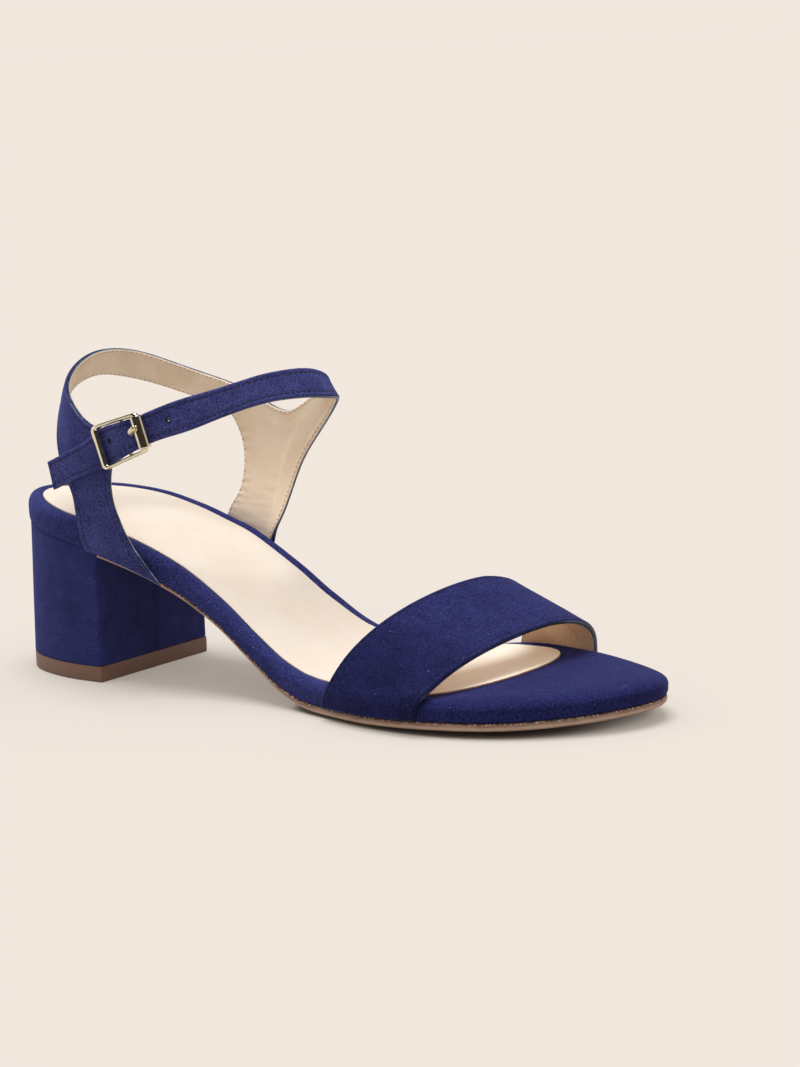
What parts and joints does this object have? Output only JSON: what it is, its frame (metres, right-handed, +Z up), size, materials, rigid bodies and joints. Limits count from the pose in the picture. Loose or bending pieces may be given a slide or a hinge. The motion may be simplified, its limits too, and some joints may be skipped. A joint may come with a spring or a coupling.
{
  "type": "mid heel sandal",
  "caption": "Open-toe sandal for the right foot with a suede vamp band, covered footbed, block heel, and an ankle strap that runs round the heel and closes with a prong buckle.",
  "frame": {"origin": "middle of the footprint, on the floor that the sandal stands on", "axes": "+X towards the toe, +Y towards the inner side of the foot, +Z up"},
  "size_m": [0.23, 0.0844, 0.1016],
  "materials": {
    "suede": "napped suede, ultramarine blue",
    "lining": "smooth pale leather",
    "sole_leather": "bare cut edge of sole leather",
    "lift": "satin brown rubber",
    "buckle_metal": "polished, pale gold"
  },
  "bodies": {
    "root": {"footbed_wrap": "suede", "sock_lining": "lining", "outsole": "sole_leather", "heel_block": "suede", "heel_lift": "lift", "vamp_band": "suede", "quarter_straps": "suede", "buckle_tab": "suede", "buckle_frame": "buckle_metal", "buckle_prong": "buckle_metal"}
  },
  "joints": []
}
